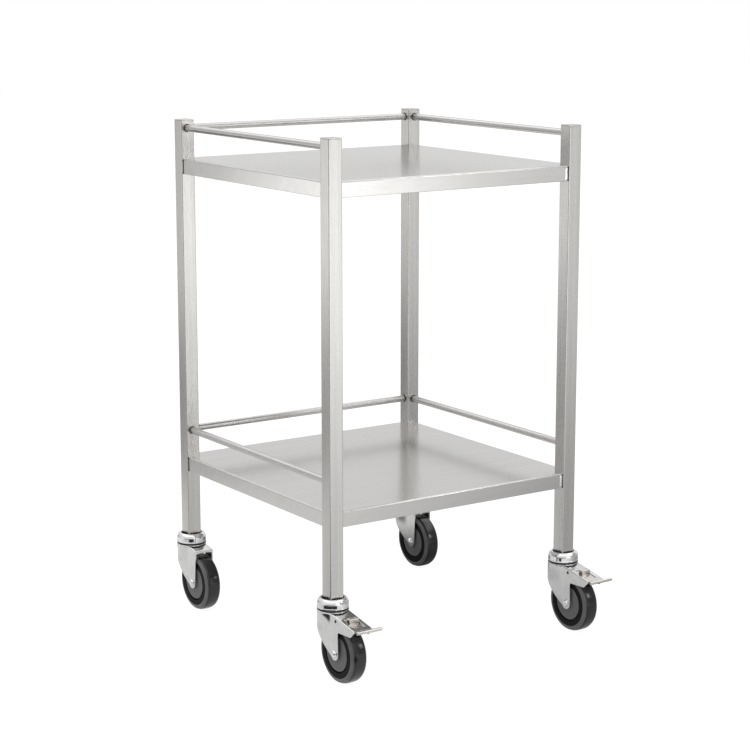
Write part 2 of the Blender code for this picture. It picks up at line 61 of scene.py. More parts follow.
# Places read from the frame
SWIVEL = {corner: middle(f"caster_stem_{corner}") * Vector((1, 1, 0)) for corner in CORNERS}
AXLE = {corner: middle(f"tyre_{corner}") for corner in CORNERS}
CENTRE = (SWIVEL["front_left"] + SWIVEL["back_right"]) / 2
POST_LOW, POST_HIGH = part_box("post_front_left")
TUBE = POST_HIGH.x - POST_LOW.x
HALF_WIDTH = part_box("post_front_right")[1].x - CENTRE.x
HALF_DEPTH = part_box("post_back_left")[1].y - CENTRE.y


# Outlines

ARC_SHARE = 0.49  # the most of an edge that one corner's arc may take
HOLD = 0.35 * MM  # how far from its ends a flat run gets its extra points


def arc_angles(start, end, steps):
    """Angles in radians from start to end, both in degrees, in equal steps."""
    return [math.radians(start + (end - start) * step / steps) for step in range(steps + 1)]


def arc(centre, radius, start, end, steps):
    across, up = centre
    return [(across + radius * math.cos(a), up + radius * math.sin(a)) for a in arc_angles(start, end, steps)]


def in_metres(points):
    return [Vector([value * MM for value in point]) for point in points]


def fillet(points, radius, steps=5, closed=True):
    """Points in a plane with each corner turned into an arc; radius is one size or one for each corner."""
    points = [Vector(point) for point in points]
    radii = radius if isinstance(radius, (list, tuple)) else [radius] * len(points)
    outline = []
    for index, corner in enumerate(points):
        ends = not closed and index in (0, len(points) - 1)
        if ends or radii[index] <= 0:
            outline.append(corner)
            continue
        before = points[index - 1] - corner
        after = points[(index + 1) % len(points)] - corner
        half = before.angle(after) / 2
        reach = min(radii[index] / math.tan(half), ARC_SHARE * before.length, ARC_SHARE * after.length)
        start, end = before.normalized() * reach, after.normalized() * reach
        centre = (start + end) / (2 * math.cos(half) ** 2)
        for step in range(steps + 1):
            arm = (start - centre).slerp(end - centre, step / steps)
            outline.append(corner + centre + arm * (start - centre).length)
    return outline


def filleted(points, radius, steps):
    """An open run of plain (x, y) points with its inner corners rounded."""
    return [tuple(point) for point in fillet(points, radius, steps, closed=False)]


def held(outline, closed=True, lead=HOLD):
    """The outline with points near both ends of its long straight runs, which keep flats flat in shading."""
    long_run = 4 * lead
    made = []
    for index, point in enumerate(outline):
        point = Vector(point)
        made.append(point)
        if not closed and index == len(outline) - 1:
            break
        run = Vector(outline[(index + 1) % len(outline)]) - point
        if run.length > long_run:
            made += [point + run.normalized() * lead, point + run - run.normalized() * lead]
    return made


def rounded_square(half, radius, height, steps=6):
    corners = [(half, -half), (half, half), (-half, half), (-half, -half)]
    return [Vector((x, y, height)) for x, y in held(fillet(corners, radius, steps))]


def quarter_turned(x, y, turns):
    """A point turned by so many right angles round Z."""
    for _ in range(turns):
        x, y = -y, x
    return x, y


# Meshes

SMOOTH = 32  # degrees: a sharper edge keeps its crease, unless a piece asks for another limit
ON_AXIS = 0.001 * MM


def finished(shape, sharp=SMOOTH):
    """A mesh with its faces turned outwards and shaded smooth, apart from edges sharper than that angle."""
    bmesh.ops.recalc_face_normals(shape, faces=shape.faces[:])
    mesh = bpy.data.meshes.new("shape")
    shape.to_mesh(mesh)
    shape.free()
    mesh.shade_smooth()
    mesh.set_sharp_from_angle(angle=math.radians(sharp))
    return mesh


def loft(loops, ring=False, sharp=SMOOTH):
    """A skin over loops with equal numbers of points, closed by its end loops or joined into a ring."""
    shape = bmesh.new()
    rows = [[shape.verts.new(point) for point in loop] for loop in loops]
    pairs = list(zip(rows, rows[1:]))
    if ring:
        pairs.append((rows[-1], rows[0]))
    else:
        shape.faces.new(rows[0][::-1])
        shape.faces.new(rows[-1])
    count = len(rows[0])
    for low, high in pairs:
        for step in range(count):
            after = (step + 1) % count
            shape.faces.new((low[step], low[after], high[after], high[step]))
    return finished(shape, sharp)


def lathe(profile, segments, closed=False, sharp=SMOOTH):
    """A turned piece round Z from (radius, height) points; an open profile starts and ends on the axis."""
    shape = bmesh.new()
    rows = []
    for radius, height in held(profile, closed):
        if radius < ON_AXIS:
            rows.append([shape.verts.new((0, 0, height))])
            continue
        turns = [2 * math.pi * (step + 0.5) / segments for step in range(segments)]
        rows.append([shape.verts.new((radius * math.sin(a), -radius * math.cos(a), height)) for a in turns])
    pairs = list(zip(rows, rows[1:]))
    if closed:
        pairs.append((rows[-1], rows[0]))
    for low, high in pairs:
        for step in range(segments):
            after = (step + 1) % segments
            lower = [low[step % len(low)], low[after % len(low)]]
            upper = [high[after % len(high)], high[step % len(high)]]
            shape.faces.new(dict.fromkeys(lower + upper))
    return finished(shape, sharp)


def along_x(mesh, place=(0, 0, 0)):
    """Turns a piece made round Z so that it lies round X, and moves it to its place."""
    turned = Matrix(((0, 0, 1), (1, 0, 0), (0, 1, 0))).to_4x4()
    mesh.transform(Matrix.Translation(place) @ turned)
    return mesh


def joined(meshes, sharp=SMOOTH):
    shape = bmesh.new()
    for mesh in meshes:
        shape.from_mesh(mesh)
    return finished(shape, sharp)


CUT_CORNER = 60  # degrees: sheet edges sharper than this are broken
SHEET_SMOOTH = 40


def thickened(mesh, wall, edge=0.0):
    """A sheet given its thickness on the inner side, and its cut edges broken."""
    helper = bpy.data.objects.new("helper", mesh)
    bpy.context.scene.collection.objects.link(helper)
    solid = helper.modifiers.new("wall", "SOLIDIFY")
    solid.thickness = wall
    solid.offset = -1
    solid.use_even_offset = True
    solid.use_quality_normals = True
    if edge:
        bevel = helper.modifiers.new("edge", "BEVEL")
        bevel.width = edge
        bevel.segments = 2
        bevel.limit_method = "ANGLE"
        bevel.angle_limit = math.radians(CUT_CORNER)
    bpy.context.view_layer.update()
    graph = bpy.context.evaluated_depsgraph_get()
    made = bpy.data.meshes.new_from_object(helper.evaluated_get(graph))
    bpy.data.objects.remove(helper)
    made.shade_smooth()
    made.set_sharp_from_angle(angle=math.radians(SHEET_SMOOTH))
    return made


def roughened(mesh, amount, scale, seed):
    """Moves the points of a mesh a little, along their normals, by a noise of their place."""
    for vertex in mesh.vertices:
        vertex.co += vertex.normal * noise.noise((vertex.co + seed) * scale) * amount
    return mesh


def piece(name, mesh, finish, body, replaces=(), place=(0, 0, 0), turn=0.0):
    """A named object at its place, riding on a body and standing for the CAD nodes that it replaces."""
    made = bpy.data.objects.new(name, mesh)
    bpy.context.scene.collection.objects.link(made)
    if not mesh.materials:
        mesh.materials.append(finish)
    made.location = place
    made.rotation_euler.z = turn
    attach(made, body)
    if replaces:
        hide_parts(*replaces)
    return made


# Materials


class Finish:
    """A material being made: its Principled shader and short calls for the nodes that feed it."""

    def __init__(self, name, colour, roughness, metallic=0.0):
        self.material = bpy.data.materials.new(name)
        self.material.use_nodes = True
        self.tree = self.material.node_tree
        self.shader = self.tree.nodes["Principled BSDF"]
        self.set(**{"Base Color": (*colour, 1), "Roughness": roughness, "Metallic": metallic})
        self.where = self.tree.nodes.new("ShaderNodeTexCoord").outputs["Object"]
        self.normal = None

    def set(self, **values):
        for socket, value in values.items():
            self.shader.inputs[socket].default_value = value

    def feed(self, socket, output):
        self.tree.links.new(output, self.shader.inputs[socket])

    def noise(self, scale, stretch=(1, 1, 1), detail=4.0, rough=0.55):
        """Noise with that many cells per metre, drawn out along an axis by a stretch below 1."""
        mapping = self.tree.nodes.new("ShaderNodeMapping")
        mapping.inputs["Scale"].default_value = [scale * share for share in stretch]
        self.tree.links.new(self.where, mapping.inputs["Vector"])
        made = self.tree.nodes.new("ShaderNodeTexNoise")
        made.inputs["Scale"].default_value = 1.0
        made.inputs["Detail"].default_value = detail
        made.inputs["Roughness"].default_value = rough
        self.tree.links.new(mapping.outputs["Vector"], made.inputs["Vector"])
        return made.outputs["Fac"]

    def spread(self, output, low, high, start=0.3, end=0.7):
        """A value between low and high as the output goes from start to end."""
        made = self.tree.nodes.new("ShaderNodeMapRange")
        made.inputs["From Min"].default_value = start
        made.inputs["From Max"].default_value = end
        made.inputs["To Min"].default_value = low
        made.inputs["To Max"].default_value = high
        self.tree.links.new(output, made.inputs["Value"])
        return made.outputs["Result"]

    def mottle(self, output, dark, light):
        """Feeds the base colour with two tones, mixed by the output."""
        made = self.tree.nodes.new("ShaderNodeMix")
        made.data_type = "RGBA"
        for socket, colour in (("A", dark), ("B", light)):
            target = [item for item in made.inputs if item.name == socket and item.type == "RGBA"][0]
            target.default_value = (*colour, 1)
        self.tree.links.new(self.spread(output, 0, 1), made.inputs["Factor"])
        self.feed("Base Color", [item for item in made.outputs if item.type == "RGBA"][0])

    def bump(self, output, height):
        made = self.tree.nodes.new("ShaderNodeBump")
        made.inputs["Distance"].default_value = height
        made.inputs["Strength"].default_value = 1.0
        self.tree.links.new(output, made.inputs["Height"])
        if self.normal:
            self.tree.links.new(self.normal, made.inputs["Normal"])
        self.normal = made.outputs["Normal"]
        self.feed("Normal", self.normal)


def brushed(name, light, dark, roughness, grain):
    """Stainless steel with a grain along one axis, faint bands and a slight waviness."""
    finish = Finish(name, light, roughness, metallic=1.0)
    streaks = finish.noise(scale=1400, stretch=grain, detail=3.0)
    finish.mottle(finish.noise(scale=110, stretch=grain, detail=2.0), dark, light)
    finish.feed("Roughness", finish.spread(streaks, low=roughness - 0.03, high=roughness + 0.04))
    finish.bump(streaks, height=0.006 * MM)
    finish.bump(finish.noise(scale=7, stretch=(1, 1, 0.4), detail=1.0), height=0.3 * MM)
    return finish.material


def plated(name, light, dark, roughness, waviness):
    """A plated or coated metal: near mirror, with a little dust and unevenness."""
    finish = Finish(name, light, roughness, metallic=1.0)
    finish.mottle(finish.noise(scale=90), dark, light)
    uneven = finish.spread(finish.noise(scale=260), low=roughness * 0.85, high=roughness * 1.2)
    finish.feed("Roughness", uneven)
    finish.bump(finish.noise(scale=55, stretch=(1, 1, 0.22), detail=1.0), waviness)
    return finish.material


def moulded(name, light, dark, roughness, speckle, gloss=0.5):
    """Rubber or plastic: a fine pitted surface with a worn, dusty variation in tone."""
    finish = Finish(name, light, roughness)
    finish.mottle(finish.noise(scale=45, detail=5.0), dark, light)
    uneven = finish.spread(finish.noise(scale=300), low=roughness - 0.06, high=roughness + 0.08)
    finish.feed("Roughness", uneven)
    finish.bump(finish.noise(scale=1500, detail=2.0), speckle)
    finish.set(**{"Specular IOR Level": gloss})
    return finish.material


def burnt(name, dark, light):
    """Heat-tinted weld: nearly black with a brown edge, and a rippled skin."""
    finish = Finish(name, (0.05, 0.04, 0.035), roughness=0.5, metallic=0.6)
    clouds = finish.noise(scale=900)
    finish.mottle(clouds, dark, light)
    finish.feed("Roughness", finish.spread(clouds, low=0.35, high=0.7))
    finish.bump(clouds, height=0.2 * MM)
    return finish.material


UPRIGHT_GRAIN = (1, 1, 0.02)
CROSS_GRAIN = (0.02, 1, 1)
ROD_GRAIN = (0.03, 1, 1)

TUBE_STEEL = brushed("tube_steel", (0.655, 0.645, 0.63), (0.585, 0.57, 0.55), 0.26, UPRIGHT_GRAIN)
SHEET_STEEL = brushed("sheet_steel", (0.685, 0.675, 0.66), (0.645, 0.635, 0.62), 0.18, CROSS_GRAIN)
ROD_STEEL = brushed("rod_steel", (0.62, 0.61, 0.60), (0.55, 0.54, 0.53), 0.28, ROD_GRAIN)
CHROME = plated("chrome_plate", (0.88, 0.88, 0.88), (0.83, 0.83, 0.83), 0.05, 0.01 * MM)
ZINC = plated("bright_zinc", (0.80, 0.80, 0.79), (0.68, 0.68, 0.675), 0.13, 0.16 * MM)
NICKEL = plated("dull_nickel", (0.74, 0.715, 0.68), (0.66, 0.635, 0.60), 0.24, 0.01 * MM)
DARK_PIN = plated("dark_pin", (0.10, 0.10, 0.105), (0.06, 0.06, 0.065), 0.35, 0.01 * MM)
# The shoulder's rubber is painted far lighter than the tread's: a painted sheen for the light caught by the
# tyre's bevel
SHOULDER_PAINTED_SHEEN = moulded("shoulder_painted_sheen", (0.15, 0.15, 0.152), (0.12, 0.12, 0.122), 0.45, 0.02 * MM, 0.3)
TYRE_RUBBER = moulded("tyre_rubber", (0.008, 0.008, 0.009), (0.005, 0.005, 0.006), 0.16, 0.003 * MM, 0.65)
CORE_PLASTIC = moulded("core_plastic", (0.009, 0.009, 0.010), (0.006, 0.006, 0.007), 0.50, 0.02 * MM, 0.1)
HUB_PLASTIC = moulded("hub_plastic", (0.12, 0.12, 0.123), (0.10, 0.10, 0.103), 0.42, 0.03 * MM)
# Near-black rubber: the swivel seal's own colour, and painted shade in the hub groove and in the gap under
# the collar
SEAL_AND_PAINTED_SHADE = moulded("seal_rubber", (0.012, 0.012, 0.012), (0.008, 0.008, 0.008), 0.55, 0.03 * MM)
PLUG_PLASTIC = moulded("plug_plastic", (0.03, 0.03, 0.03), (0.02, 0.02, 0.02), 0.55, 0.03 * MM)
WELD = burnt("weld", (0.02, 0.016, 0.014), (0.12, 0.09, 0.07))
GROUND_WELD = plated("ground_weld", (0.80, 0.79, 0.78), (0.66, 0.65, 0.63), 0.30, 0.10 * MM)
PAD_WELD = plated("pad_weld", (0.93, 0.93, 0.92), (0.86, 0.85, 0.84), 0.25, 0.10 * MM)

# CAD pieces that keep their own shape, all of them inside the cart, and what they are made of
CARRIED = {"caster_plug": PLUG_PLASTIC, "caster_stem": ZINC, "axle_sleeve": ZINC}


def coat_carried_nodes():
    for name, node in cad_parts.items():
        for start, finish in CARRIED.items():
            if name.startswith(start):
                for item in node.material_slots:
                    item.material = finish


# Camera, floor and light

CAMERA_YAW = -34.09
CAMERA_PITCH = -11.33
CAMERA_PLACE = (-1.9490, -2.8424, 1.1271)
LENS = 98.18
SENSOR = 36
NEAR = 0.1

# Directions on the floor: towards the camera and to the right of that, and the way to the softbox
TO_CAMERA = Vector((-0.56, -0.83, 0))
TO_RIGHT = Vector((0.83, -0.56, 0))
TO_BOX = Vector((0.56, -0.83, 0))
ACROSS_BOX = Vector((0.83, 0.56, 0))

FLOOR_HALF = 14.0
FLOOR_WHITE = 0.95
FLOOR_MATTE = 0.12
# Centres of a painted pool of light and of a painted shadow in the floor's glow
PAINTED_POOL = (-0.62, 0.72, 0)
PAINTED_SHADOW_CENTRE = (0.24, 0.33, 0)
SKY_WHITE = 1.0


def make_camera():
    data = bpy.data.cameras.new("camera")
    data.lens = LENS
    data.sensor_width = SENSOR
    data.clip_start = NEAR
    made = bpy.data.objects.new("camera", data)
    bpy.context.scene.collection.objects.link(made)
    made.location = CAMERA_PLACE
    made.rotation_euler = (math.radians(90 + CAMERA_PITCH), 0, math.radians(CAMERA_YAW))
    bpy.context.scene.camera = made


class Sums:
    """Short calls for the arithmetic nodes of a stage shader."""

    def __init__(self, tree):
        self.tree = tree
        tree.nodes.clear()

    def new(self, kind, **settings):
        made = self.tree.nodes.new(f"ShaderNode{kind}")
        for key, value in settings.items():
            setattr(made, key, value)
        return made

    def link(self, source, target):
        self.tree.links.new(source, target)

    def value(self, operation, *inputs):
        made = self.new("Math", operation=operation)
        for index, item in enumerate(inputs):
            if isinstance(item, (int, float)):
                made.inputs[index].default_value = item
            else:
                self.link(item, made.inputs[index])
        return made.outputs[0]

    def paired(self, operation, vector, other):
        """A number worked out from a vector and a fixed one, such as their dot product or distance."""
        made = self.new("VectorMath", operation=operation)
        self.link(vector, made.inputs[0])
        made.inputs[1].default_value = other
        return made.outputs["Value"]

    def azimuth(self, where):
        """Degrees round the cart: 0 towards the camera, 90 to the right of it."""
        right = self.paired("DOT_PRODUCT", where, TO_RIGHT)
        front = self.paired("DOT_PRODUCT", where, TO_CAMERA)
        return self.value("DEGREES", self.value("ARCTAN2", right, front))

    def ramp(self, value, start, end, low=0.0, high=1.0):
        """Low up to the start, high after the end, and a soft change between them."""
        made = self.new("MapRange", interpolation_type="SMOOTHSTEP")
        for name, item in (("From Min", start), ("From Max", end), ("To Min", low), ("To Max", high)):
            made.inputs[name].default_value = item
        self.link(value, made.inputs["Value"])
        return made.outputs["Result"]

    def zone(self, azimuth, reach, turn, rise, soft, soft_turn=None):
        """1 inside a patch given by its ranges of azimuth and of height or distance, and 0 outside it."""
        share = 1.0
        for value, (low, high), edge in ((azimuth, turn, soft_turn or soft), (reach, rise, soft)):
            share = self.value("MULTIPLY", self.ramp(value, low - edge, low + edge), share)
            share = self.value("MULTIPLY", self.ramp(value, high - edge, high + edge, 1, 0), share)
        return share

    def towards(self, base, level, share):
        """The base, moved to that level as the share goes to 1."""
        change = self.value("SUBTRACT", level, base)
        return self.value("MULTIPLY_ADD", change, share, base)

    def glow(self, kind, strength):
        """A white light source shader; its strength is a number or a node's output."""
        made = self.new(kind)
        made.inputs["Color"].default_value = (1, 1, 1, 1)
        if isinstance(strength, float):
            made.inputs["Strength"].default_value = strength
        else:
            self.link(strength, made.inputs["Strength"])
        return made.outputs[0]

    def show(self, mirrored, seen, output):
        """Gives one shader to the camera's own rays, and the other to reflections and light."""
        mix = self.new("MixShader")
        self.link(self.new("LightPath").outputs["Is Camera Ray"], mix.inputs[0])
        self.link(mirrored, mix.inputs[1])
        self.link(seen, mix.inputs[2])
        self.link(mix.outputs[0], self.new(output).inputs["Surface"])


def floor_light(sums, where):
    """How bright the floor glows in reflections, all painted light and shade: a painted pool of light in
    front on the right, dimmer behind, a painted shadow under the cart.
    """
    ahead = sums.paired("DOT_PRODUCT", where, TO_BOX)
    aside = sums.paired("DOT_PRODUCT", where, ACROSS_BOX)
    front = sums.ramp(ahead, 0.8, 5.0, low=0.58, high=1.42)
    front = sums.value("MULTIPLY", front, sums.ramp(aside, -0.6, 0.5, low=1.5, high=0.55))
    back = sums.ramp(ahead, -4.5, -2.6, low=1.75, high=0.46)
    back = sums.value("MULTIPLY", back, sums.ramp(aside, 0.05, 0.38, low=1.0, high=0.25))
    back = sums.value("MULTIPLY", back, sums.ramp(aside, -0.4, -0.1, low=0.8, high=1.0))
    back = sums.towards(back, 0.72, sums.ramp(ahead, -1.7, -0.8))
    lit = sums.towards(back, front, sums.ramp(ahead, -0.3, 0.3))
    # a painted pool of light behind on the left
    lit = sums.towards(lit, 0.85, sums.ramp(sums.paired("DISTANCE", where, PAINTED_POOL), 0.1, 0.5, low=1, high=0))
    azimuth = sums.azimuth(where)
    distance = sums.paired("DISTANCE", where, (0, 0, 0))
    # a dimmer painted patch of the floor's glow in front on the left
    dim_glow_zone = sums.zone(azimuth, distance, (-72, 20), (0.7, 30), soft=0.3, soft_turn=14)
    lit = sums.towards(lit, 0.5, dim_glow_zone)
    # a nearly black painted strip close in front, for the dark band that the collars reflect
    dark_strip = sums.zone(azimuth, distance, (-48, 13), (0.47, 0.88), soft=0.04, soft_turn=3)
    lit = sums.towards(lit, 0.03, dark_strip)
    # a painted shadow under the cart
    under = sums.ramp(sums.paired("DISTANCE", where, PAINTED_SHADOW_CENTRE), 0.08, 0.30, low=1, high=0)
    return sums.towards(lit, 0.16, under)


def make_floor():
    """A pale floor: plain white to look at; in reflections it glows with painted light and shade that stand
    for the studio's light and dark areas.
    """
    shape = bmesh.new()
    bmesh.ops.create_grid(shape, x_segments=2, y_segments=2, size=FLOOR_HALF)
    mesh = finished(shape)
    made = bpy.data.objects.new("floor", mesh)
    bpy.context.scene.collection.objects.link(made)
    material = bpy.data.materials.new("floor_white")
    material.use_nodes = True
    sums = Sums(material.node_tree)
    where = sums.new("NewGeometry").outputs["Position"]
    matte = sums.new("BsdfDiffuse")
    matte.inputs["Color"].default_value = (FLOOR_MATTE, FLOOR_MATTE, FLOOR_MATTE, 1)
    seen = sums.new("AddShader")
    sums.link(sums.glow("Emission", FLOOR_WHITE), seen.inputs[0])
    sums.link(matte.outputs[0], seen.inputs[1])
    sums.show(sums.glow("Emission", floor_light(sums, where)), seen.outputs[0], "OutputMaterial")
    mesh.materials.append(material)


def make_world():
    """A white studio, brighter overhead, whose walls differ in reflections."""
    world = bpy.data.worlds.new("studio")
    bpy.context.scene.world = world
    world.use_nodes = True
    sums = Sums(world.node_tree)
    where = sums.new("TexCoord").outputs["Generated"]
    azimuth = sums.azimuth(where)
    up = sums.paired("DOT_PRODUCT", where, Vector((0, 0, 1)))
    height = sums.value("DEGREES", sums.value("ARCSINE", up))
    light = sums.ramp(height, 30, 50, low=0.80, high=1.5)
    light = sums.towards(light, 0.95, sums.ramp(height, 55, 68))
    patches = (  # brightness, azimuths, heights and softness of the edge, in degrees
        (1.1, (22, 54), (-20, 60), 6),  # the lit wall in front on the right
        (0.42, (58, 125), (-20, 38), 6),  # the dim wall to the right
        (0.02, (-57, 16), (-20, 13), 2),  # the unlit room low behind the camera
        (0.78, (-160, -72), (-20, 40), 6),  # the wall to the left and behind
        (1.7, (-158, -124), (28, 60), 4),  # a bright panel high up behind
        (0.6, (-126, -100), (-20, 18), 4),  # a dim strip low on the left
    )
    for level, turn, rise, soft in patches:
        light = sums.towards(light, level, sums.zone(azimuth, height, turn, rise, soft))
    sums.show(sums.glow("Background", light), sums.glow("Background", SKY_WHITE), "OutputWorld")


def softbox(name, place, target, size, power):
    data = bpy.data.lights.new(name, "AREA")
    data.shape = "RECTANGLE"
    data.size, data.size_y = size
    data.energy = power
    made = bpy.data.objects.new(name, data)
    bpy.context.scene.collection.objects.link(made)
    made.location = place
    made.rotation_euler = (Vector(place) - Vector(target)).to_track_quat("Z", "Y").to_euler()
    made.visible_camera = False
    return made


def make_lights():
    """A small softbox in front on the right, and a large one overhead that doesn't show in the steel."""
    softbox("right_box", place=(1.65, -2.44, 1.36), target=(0, -0.2, 0.1), size=(0.36, 0.6), power=3.6)
    overhead = softbox("top_box", place=(-0.4, 0.3, 3.2), target=(0, 0, 0), size=(1.6, 1.6), power=30)
    overhead.visible_glossy = False


# Frame

TUBE_WALL = 1.2 * MM
TUBE_CORNER = 1.5 * MM
CAP_GAP = 0.3 * MM
CAP_PLATE = 2 * MM
CAP_EDGE = 0.9 * MM
SHEET = 1.2 * MM
BEND = 2.4 * MM
LIP = 0.8 * MM
LEAD = 0.4 * MM  # how far a flat runs on before its first row of points, next to a bend
POST_GAP = 0.1 * MM
ROD_LAP = 0.2 * MM


def tube_mesh():
    half, inner = TUBE / 2, TUBE / 2 - TUBE_WALL
    bottom, top = POST_LOW.z, POST_HIGH.z
    loops = [
        rounded_square(inner, TUBE_CORNER - TUBE_WALL, bottom),
        rounded_square(half, TUBE_CORNER, bottom),
        rounded_square(half, TUBE_CORNER, top),
        rounded_square(inner, TUBE_CORNER - TUBE_WALL, top),
    ]
    return loft(loops, ring=True, sharp=40)


def cap_mesh():
    """The end cap's plate on top of a tube, with its upper edge rounded."""
    half, seat = TUBE / 2, POST_HIGH.z + CAP_GAP
    loops = [rounded_square(half - TUBE_WALL, TUBE_CORNER - TUBE_WALL, seat)]
    loops.append(rounded_square(half, TUBE_CORNER, seat))
    for angle in arc_angles(0, 90, 4):
        inset = CAP_EDGE * (1 - math.cos(angle))
        height = seat + CAP_PLATE - CAP_EDGE + CAP_EDGE * math.sin(angle)
        loops.append(rounded_square(half - inset, TUBE_CORNER, height))
    loops.append(rounded_square(half - CAP_EDGE - LEAD, TUBE_CORNER, seat + CAP_PLATE))
    return loft(loops, sharp=50)


def make_posts():
    tube, cap = tube_mesh(), cap_mesh()
    for corner, place in SWIVEL.items():
        post, plate = [f"post_{corner}"], [f"post_cap_{corner}"]
        piece(f"tube_{corner}", tube, TUBE_STEEL, "frame", post, place)
        piece(f"tube_end_{corner}", cap, TUBE_STEEL, "frame", plate, place)


def flange_section(side, drop):
    """(out, down) points across one edge of a shelf, from the deck round the bend to the lip's round end."""
    section = [(side - BEND - LEAD, 0.0), (side - BEND, 0.0)]
    for angle in arc_angles(0, 90, 6)[1:]:
        section.append((side - BEND + BEND * math.sin(angle), -BEND + BEND * math.cos(angle)))
    section += [(side, -BEND - LEAD), (side, -drop + LIP + LEAD)]
    for angle in arc_angles(0, 90, 4):
        section.append((side - LIP + LIP * math.cos(angle), -drop + LIP - LIP * math.sin(angle)))
    return section


def make_shelf(level):
    """Folded sheet: a deck, a bend along each side and a flange turned down, between the posts."""
    low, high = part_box(f"{level}_shelf")
    size = (high - low) / 2
    reach_x = HALF_WIDTH - TUBE - POST_GAP
    reach_y = HALF_DEPTH - TUBE - POST_GAP
    shape = bmesh.new()
    deck = []
    for turn, (side, reach, notch) in enumerate([(size.y, reach_x, reach_y), (size.x, reach_y, reach_x)] * 2):
        rows = []
        for out, down in flange_section(side, high.z - low.z):
            ends = [quarter_turned(end * reach, -out, turn) for end in (-1, 1)]
            rows.append([shape.verts.new((*end, down)) for end in ends])
        for first, second in zip(rows, rows[1:]):
            shape.faces.new((first[0], first[1], second[1], second[0]))
        deck += rows[0] + [shape.verts.new((*quarter_turned(reach, -notch, turn), 0))]
    shape.faces.new(deck)
    sheet = thickened(finished(shape, sharp=40), SHEET)
    place = (CENTRE.x, CENTRE.y, high.z)
    piece(f"{level}_tray", sheet, SHEET_STEEL, "frame", [f"{level}_shelf"], place)


def make_rails():
    for level in LEVELS:
        for side in RAIL_SIDES:
            node = f"{level}_rail_{side}"
            low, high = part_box(node)
            size = high - low
            half, radius = max(size) / 2 + ROD_LAP, size.z / 2
            rod = along_x(lathe([(0, -half), (radius, -half), (radius, half), (0, half)], segments=40))
            turn = 0.0 if side == "back" else math.radians(90)
            place = middle(node)
            piece(f"{level}_rod_{side}", rod, ROD_STEEL, "frame", [node], place, turn)


# Welds

WELD_RING = [(6.0, -0.2), (7.1, -0.2), (6.9, 0.5), (6.0, 1.0)]
BEAD_STEPS = 22
BEAD_RADIUS = 0.5 * MM
BEAD_INSET = 2.5 * MM
BURNT_BEAD_RADIUS = 0.9 * MM
BURNT_BEADS = {("front_right", "front"): Vector((0, -1, 0)), ("back_left", "side"): Vector((-1, 0, 0))}
SPOT = [(0, -1.5), (1.1, -0.9), (1.5, 0), (1.1, 0.9), (0, 1.5)]
SPOT_PROUD = 0.3 * MM
SPOT_HEIGHTS = {"top": 10.5, "foot": -11.0}
PAD_CORNER = "front_right"
PAD_HALF_WIDTH = 2.6
PAD_HALF_HEIGHT = 9.8
PAD_OFFSET = Vector((-3.6, 0, -0.5)) * MM


def rail_welds():
    """A thin ring of weld where each rail meets a post."""
    ring = lathe(in_metres(fillet(WELD_RING, [0, 0.1, 0.4, 0.1], 3)), segments=40, closed=True)
    for level in LEVELS:
        for side in RAIL_SIDES:
            low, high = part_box(f"{level}_rail_{side}")
            centre = (low + high) / 2
            axis, about, sense = (0, "Y", 1) if side == "back" else (1, "X", -1)
            turn = Matrix.Rotation(math.radians(90), 4, about)
            for tag, end, inward in (("start", low, 1), ("end", high, -1)):
                mesh = roughened(ring.copy(), 0.35 * MM, scale=700, seed=centre + end)
                mesh.transform(turn @ Matrix.Scale(sense * inward, 4, Vector((0, 0, 1))))
                place = centre.copy()
                place[axis] = end[axis]
                name = f"{level}_weld_{side}_{tag}"
                piece(name, joined([mesh], sharp=60), WELD, "frame", [], place)


def weld_bead(name, place, length, radius, finish):
    """An upright run of weld, lumpy along its length and thinner at its ends."""
    profile = [(0, -length / 2)]
    for step in range(1, BEAD_STEPS):
        z = length * (step / BEAD_STEPS - 0.5)
        ripple = 0.8 + 0.35 * noise.noise(Vector((0, 0, z * 420)) + place * 50)
        taper = min(1.0, 0.55 + 3 * min(step, BEAD_STEPS - step) / BEAD_STEPS)
        profile.append((radius * ripple * taper, z))
    profile.append((0, length / 2))
    piece(name, lathe(profile, segments=12, sharp=60), finish, "frame", [], place)


def weld_pad(name, place):
    """A patch of bright, flattened weld on the front of a flange's end, a rounded oblong with a wavy edge."""
    loops = []
    for depth, inset in ((0.0, 0.0), (0.35, 0.1), (0.5, 0.5)):
        loop = []
        for step in range(36):
            angle = 2 * math.pi * step / 36
            across, up = math.cos(angle), math.sin(angle)
            wave = 1 + 0.16 * noise.noise(Vector((across * 2, up * 2, 0)) + place * 40)
            x = (PAD_HALF_WIDTH * wave - inset) * math.copysign(abs(across) ** 0.45, across)
            z = (PAD_HALF_HEIGHT * wave - inset) * math.copysign(abs(up) ** 0.35, up)
            loop.append(Vector((x, -depth, z)) * MM)
        loops.append(loop)
    piece(name, loft(loops, sharp=50), PAD_WELD, "frame", [], place)


def weld_spots(level, corner, place):
    """Two burnt lumps, at the ends of a burnt bead."""
    for end, height in SPOT_HEIGHTS.items():
        spot = lathe(in_metres(SPOT), segments=16, sharp=60)
        spot = roughened(spot, 0.5 * MM, scale=900, seed=place * (2 + height))
        lifted = place + Vector((0, 0, height * MM))
        piece(f"{level}_spot_{corner}_{end}", spot, WELD, "frame", [], lifted)


